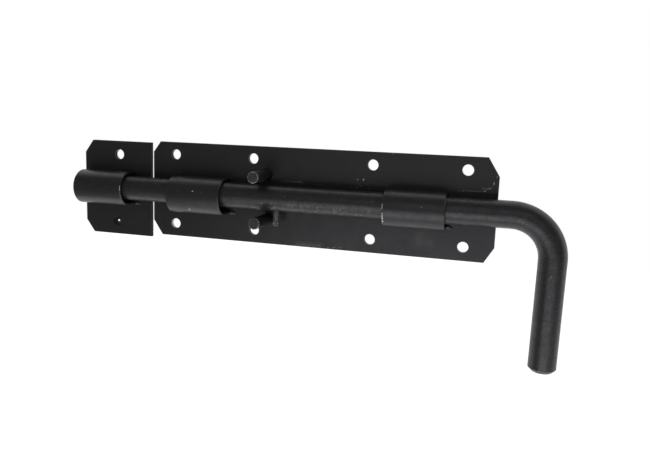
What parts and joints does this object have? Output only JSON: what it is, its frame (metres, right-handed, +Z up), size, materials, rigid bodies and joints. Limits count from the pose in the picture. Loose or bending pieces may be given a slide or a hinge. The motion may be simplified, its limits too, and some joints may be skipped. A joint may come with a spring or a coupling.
{
  "type": "door bolt",
  "caption": "Surface door bolt: a round cranked bar slides in strap guides on a plate, posts on the plate stop its pin, and a separate keep takes its tip.",
  "frame": {"origin": "middle of the main plate's back face, on the door's face", "axes": "+X along the bolt towards the handle, the way the bar is drawn back; +Y into the door; +Z up, with the handle hanging down"},
  "size_m": [0.355, 0.031, 0.1358],
  "materials": {
    "plate_paint": "satin black paint, lightly scratched",
    "guide_paint": "satin black paint, chipped at the edges",
    "bar_paint": "satin black paint, rubbed along the bar",
    "post_paint": "satin black paint, end faces worn at the rim"
  },
  "bodies": {
    "plates": {"main_plate": "plate_paint", "keep_plate": "plate_paint", "tip_guide": "guide_paint", "handle_guide": "guide_paint", "keep_guide": "guide_paint", "upper_post": "post_paint", "lower_post": "post_paint"},
    "bolt": {"bolt_bar": "bar_paint", "stop_pin": "bar_paint"}
  },
  "joints": [
    {"name": "bolt_slide", "type": "slide", "parent": "plates", "child": "bolt", "axis": [1, 0, 0], "range_m": [-0.003, 0.0735]}
  ]
}
